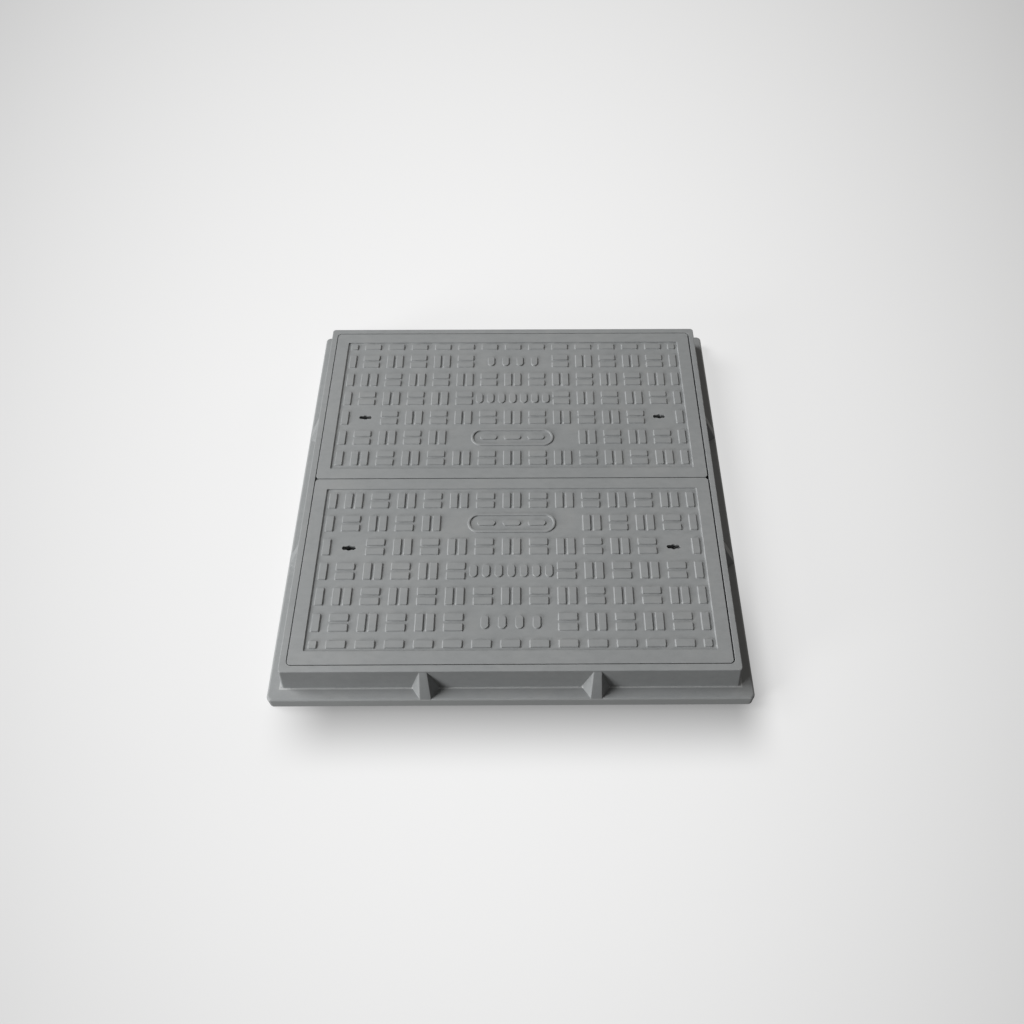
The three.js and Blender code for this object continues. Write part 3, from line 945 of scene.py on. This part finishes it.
def makeSeal():
    # barbs grip the groove, and low ribs up the strip bear on the leaves
    low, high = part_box("seam_seal")
    base, strip, barb = sealLip["base"], sealLip["strip"], sealLip["barb"]
    half = [(base - barb, low.z), (base, low.z + 0.7 * mm), (base - barb, low.z + 1.3 * mm),
            (base, low.z + 2 * mm), (base - barb, low.z + 3 * mm), (strip, low.z + 3.2 * mm)]
    ribPitch = (high.z - low.z - 12 * mm) / sealLip["ribs"]
    for i in range(sealLip["ribs"]):
        z = low.z + 8 * mm + i * ribPitch
        half += [(strip, z), (strip + sealLip["rib"], z + 0.5 * mm), (strip, z + mm)]
    half += [(strip, high.z - 1.2 * mm), (0.5 * strip, high.z)]
    return prism("seamSeal", mirrored(half), "x", high.x)


cushion = {"corner": 3 * mm, "edge": 0.5 * mm, "grooves": 6, "grooveHalf": 1.2 * mm, "deep": 0.9 * mm}


def makePad():
    # a rubber cushion with grooves across its top
    low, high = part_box("beam_pad_right")
    middle = ((low.x + high.x) / 2, 0)
    bm = bmesh.new()
    slab(bm, low, high, middle, cushion["corner"], cushion["edge"])
    piece = toObject(bm, "beamPadRight")
    floor = high.z - cushion["deep"]
    slot = [(low.x - mm, floor), (high.x + mm, floor),
            (high.x + mm, high.z + mm), (low.x - mm, high.z + mm)]
    for i in range(cushion["grooves"]):
        y = (i - (cushion["grooves"] - 1) / 2) * 2 * high.y / cushion["grooves"]
        carved(piece, prism("padGroove", slot, "y", cushion["grooveHalf"], middle=y), "DIFFERENCE")
    return piece


gasketLip = {"width": 18 * mm, "corner": 8 * mm, "round": 0.5 * mm,
             "lips": (3 * mm, 9 * mm, 15 * mm), "lipHigh": 0.9 * mm}


def makeGasket():
    # a flat strip under the skirt, with three low lips along its foot
    low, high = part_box("gasket_front")
    middle = (0, (low.y + high.y) / 2)
    width, soft = gasketLip["width"], gasketLip["round"]
    path = [(0, low.z + gasketLip["lipHigh"]), (0, high.z - soft), (soft, high.z),
            (width - soft, high.z), (width, high.z - soft), (width, low.z + gasketLip["lipHigh"])]
    for at in reversed(gasketLip["lips"]):
        path += [(at + 1.8 * mm, low.z + gasketLip["lipHigh"]), (at + 0.5 * mm, low.z),
                 (at - 0.5 * mm, low.z), (at - 1.8 * mm, low.z + gasketLip["lipHigh"])]
    halfY = (high.y - low.y) / 2
    outlines = [(high.x - inside, halfY - inside, max(gasketLip["corner"] - inside, 3 * mm), z, middle)
                for inside, z in path]
    bm = bmesh.new()
    ringStack(bm, outlines, perCorner=4, closed=True)
    return toObject(bm, "gasketFront")


keyBox = {"corner": 5 * mm, "edge": 0.6 * mm, "cupHalfX": 26 * mm, "cupHalfY": 20 * mm, "wall": 3 * mm,
          "taper": 2 * mm, "flange": 3 * mm, "footRound": 4 * mm, "hole": 3.3 * mm}
keyScrew = {"offset": 34 * mm, "head": 5.5 * mm, "headHigh": 3 * mm, "core": 2.5 * mm, "thread": 3 * mm,
            "pitch": 1.5 * mm, "recess": 1.4 * mm}


def screwHoleTool(x, low, high):
    bm = bmesh.new()
    for side in (-1, 1):
        pin(bm, x + side * keyScrew["offset"], keyway["y"], keyBox["hole"], low, high, 16)
    return toObject(bm, "holeTool")


def makeKeyPlate(x, low, high):
    bm = bmesh.new()
    slab(bm, low, high, (x, keyway["y"]), keyBox["corner"], keyBox["edge"])
    piece = toObject(bm, "keyPlate")
    carved(piece, screwHoleTool(x, low.z - mm, high.z + mm), "DIFFERENCE")
    carved(piece, keywayTool(low.z - mm, high.z + mm), "DIFFERENCE")
    return piece


def makeKeyPot(x, low, high):
    halfX, halfY = (high.x - low.x) / 2, (high.y - low.y) / 2
    k, middle = keyBox, (x, keyway["y"])
    edge, wall, taper, soft = k["edge"], k["wall"], k["taper"], k["footRound"]
    flangeFoot = high.z - k["flange"]
    cupX, cupY = k["cupHalfX"], k["cupHalfY"]
    steps = [(wall + taper + soft, low.z + wall), (wall + taper + 0.3 * soft, low.z + wall + 0.3 * soft),
             (wall + taper, low.z + wall + soft), (wall, high.z - 1.2 * mm), (wall - mm, high.z)]
    outer = [(0, flangeFoot - 1.5 * mm), (taper, low.z + soft), (taper + 0.3 * soft, low.z + 0.3 * soft),
             (taper + soft, low.z)]

    def cup(inside, z):
        return (cupX - inside, cupY - inside, max(k["corner"] - inside / 3, 2 * mm), z, middle)

    outlines = [cup(*step) for step in steps]
    outlines += [(halfX - edge, halfY - edge, k["corner"] - edge, high.z, middle),
                 (halfX, halfY, k["corner"], high.z - edge, middle),
                 (halfX, halfY, k["corner"], flangeFoot + edge, middle),
                 (halfX - edge, halfY - edge, k["corner"] - edge, flangeFoot, middle),
                 (cupX + 1.5 * mm, cupY + 1.5 * mm, k["corner"], flangeFoot, middle)]
    outlines += [cup(*step) for step in outer]
    bm = bmesh.new()
    ringStack(bm, outlines, perCorner=4, capped=True)
    piece = toObject(bm, "keyPot")
    carved(piece, screwHoleTool(x, flangeFoot - mm, high.z + mm), "DIFFERENCE")
    return piece


def makeKeyScrew(x, low, high):
    # a hexagon head with a raised washer face and a socket, and a ridged shank
    k = keyScrew
    bm = bmesh.new()
    seat = low.z + k["headHigh"]
    rings = [(6, k["head"] * 0.42, low.z + k["recess"]), (6, k["head"] * 0.42, low.z),
             (6, k["head"] * 0.86, low.z), (6, k["head"], low.z + 0.5 * mm),
             (6, k["head"], seat - 0.4 * mm), (6, k["head"] * 0.9, seat), (6, k["core"], seat)]
    z = seat + 0.6 * mm
    while z + k["pitch"] < high.z - mm:
        rings += [(12, k["core"], z), (12, k["thread"], z + 0.4 * k["pitch"]),
                  (12, k["thread"], z + 0.55 * k["pitch"]), (12, k["core"], z + 0.95 * k["pitch"])]
        z += k["pitch"]
    rings += [(12, k["core"], high.z - mm), (12, k["core"] * 0.6, high.z)]
    previous = None
    for sides, radius, z in rings:
        ring = []
        for i in range(12):
            angle = i * math.pi / 6
            flat = 1
            if sides == 6:
                flat = math.cos(math.pi / 6) / math.cos(angle % (math.pi / 3) - math.pi / 6)
            ring.append(bm.verts.new((x + radius * flat * math.cos(angle),
                                      keyway["y"] + radius * flat * math.sin(angle), z)))
        if previous:
            for i in range(12):
                bm.faces.new((previous[i], previous[(i + 1) % 12], ring[(i + 1) % 12], ring[i]))
        else:
            bm.faces.new(ring)
        previous = ring
    bm.faces.new(previous)
    return toObject(bm, "keyScrew")


def addPair(piece, node, slot):
    # the front leaf's piece, and its copy for the rear leaf, which is the same leaf half turned
    word = "".join(w.capitalize() for w in node.replace("_{side}", "").split("_"))
    word = word[0].lower() + word[1:]
    rear = halfTurned(piece, word + "Rear")
    piece.name = word + "Front"
    for side, copy in (("front", piece), ("rear", rear)):
        finished(copy, "leaf_" + side, slot, node.format(side=side))


finished(makeBeam(), "beam", "galvanised", "support_beam")
finished(makeSeal(), "beam", "rubber", "seam_seal")
rightPad = makePad()
finished(halfTurned(rightPad, "beamPadLeft"), "frame", "rubber", "beam_pad_left")
finished(rightPad, "frame", "rubber", "beam_pad_right")
addPair(makeGasket(), "gasket_{side}", "rubber")
for end, x in (("left", -keyway["x"]), ("right", keyway["x"])):
    addPair(makeKeyPlate(x, *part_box("key_plate_front_" + end)), "key_plate_{side}_" + end, "stainless")
    addPair(makeKeyPot(x, *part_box("key_pot_front_" + end)), "key_pot_{side}_" + end, "black_plastic")
    for count, offset in ((1, -keyScrew["offset"]), (2, keyScrew["offset"])):
        node = "_" + end + "_" + str(count)
        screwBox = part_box("key_screw_front" + node)
        addPair(makeKeyScrew(x + offset, *screwBox), "key_screw_{side}" + node, "stainless")
print("hidden pieces made")


# Floor, light and camera

paleFloor = {
    "near": 0.90,
    "far": 0.52,
    "farAt": 3.2,
    "oval": (1, 0.6, 1),
    "deeperBehind": (-3, 7, 0.4, 2.4),  # from and to along y, and how far the near tone spreads at each
    "lit": 0.27,
    "contact": 0.38,
    "contactX": ((-0.52, -0.36), (0.56, 0.46)),
    "contactY": ((-0.65, -0.47), (-0.1, -0.4)),
    "radius": 60,
    "below": 0.5 * mm,
}
studio = {
    "world": 0.13,
    "sky": (1.0, 0.985, 0.96, 1),
    "lookAt": (0, 0, 0.05),
    "keyFrom": (-6.95, 1.75, 6.95),
    "keySize": 5.4,
    "keyPower": 998,
    "sideFrom": (-5.1, -3.2, 1.5),
    "sideSize": 2.2,
    "sidePower": 300,
    "backFrom": (4.6, 4.4, 1.7),
    "backSize": 2.4,
    "backPower": 66,
    "backColour": (1.0, 0.93, 0.85),
}


def areaLight(name, place, size, power, colour=(1, 1, 1)):
    data = bpy.data.lights.new(name, "AREA")
    data.shape = "DISK"
    data.size = size
    data.energy = power
    data.color = colour
    lamp = bpy.data.objects.new(name, data)
    lamp.location = place
    aim = Vector(studio["lookAt"]) - Vector(place)
    lamp.rotation_euler = aim.to_track_quat("-Z", "Y").to_euler()
    scene.collection.objects.link(lamp)


def floorFinish():
    # mostly its own glow, brightest around the cover, so that the cast shadows stay pale
    material, shader, place = newMaterial("paleFloor", 0.9)
    where = axes(material, place)
    length = material.node_tree.nodes.new("ShaderNodeVectorMath")
    length.operation = "LENGTH"
    link(material, mapped(material, place, paleFloor["oval"]), length.inputs[0])
    spread = ranged(material, where["Y"], *paleFloor["deeperBehind"])
    away = times(material, length.outputs["Value"], spread, "DIVIDE")
    away = ranged(material, times(material, away, away), 0, paleFloor["farAt"],
                  paleFloor["near"], paleFloor["far"])
    # soft contact shade along the front edge, which comes in and goes out along x and along y
    (inX, outX), (inY, outY) = paleFloor["contactX"], paleFloor["contactY"]
    alongX = times(material, eased(material, where["X"], *inX), eased(material, where["X"], *outX))
    alongY = times(material, eased(material, where["Y"], *inY), eased(material, where["Y"], *outY))
    shade = ranged(material, times(material, alongX, alongY), 0, 1, 1, paleFloor["contact"])
    tone = times(material, away, shade)
    colour = blended(material, tone, (0, 0, 0), (1, 1, 1))
    lit = blended(material, tone, (0, 0, 0), (paleFloor["lit"],) * 3)
    link(material, lit, shader.inputs["Base Color"])
    link(material, colour, shader.inputs["Emission Color"])
    shader.inputs["Emission Strength"].default_value = 1 - paleFloor["lit"]
    shader.inputs["Specular IOR Level"].default_value = 0.0
    return material


def makeStudio():
    bm = bmesh.new()
    bmesh.ops.create_circle(bm, cap_ends=True, segments=96, radius=paleFloor["radius"])
    bmesh.ops.translate(bm, verts=bm.verts, vec=(0, 0, -paleFloor["below"]))
    floor = toObject(bm, "paleFloor")
    if floor.data.polygons[0].normal.z < 0:
        floor.data.flip_normals()
    floor.data.materials.append(floorFinish())
    # the floor neither lights the cover nor shows in it
    floor.visible_diffuse = False
    floor.visible_glossy = False
    world = bpy.data.worlds.new("softSky")
    world.use_nodes = True
    sky = world.node_tree.nodes["Background"]
    sky.inputs["Color"].default_value = studio["sky"]
    sky.inputs["Strength"].default_value = studio["world"]
    scene.world = world
    s = studio
    areaLight("keyLight", s["keyFrom"], s["keySize"], s["keyPower"])
    areaLight("sideLight", s["sideFrom"], s["sideSize"], s["sidePower"])
    areaLight("backLight", s["backFrom"], s["backSize"], s["backPower"], s["backColour"])


lookout = {"place": (0.03675, -1.03332, 1.62558), "turn": 0.389, "down": 59.032, "roll": 0.09,
           "lens": 28.22, "shift": (-0.0185, 0.0098)}


def makeCamera():
    data = bpy.data.cameras.new("camera")
    data.sensor_width = 36
    data.lens = lookout["lens"]
    data.shift_x, data.shift_y = lookout["shift"]
    data.clip_start = 0.05
    data.clip_end = 200
    camera = bpy.data.objects.new("camera", data)
    turn = Matrix.Rotation(-math.radians(lookout["turn"]), 4, "Z")
    tilt = Matrix.Rotation(math.radians(90 - lookout["down"]), 4, "X")
    roll = Matrix.Rotation(math.radians(lookout["roll"]), 4, "Z")
    camera.matrix_world = Matrix.Translation(lookout["place"]) @ turn @ tilt @ roll
    scene.collection.objects.link(camera)
    scene.camera = camera


makeStudio()
makeCamera()
print("studio and camera set")
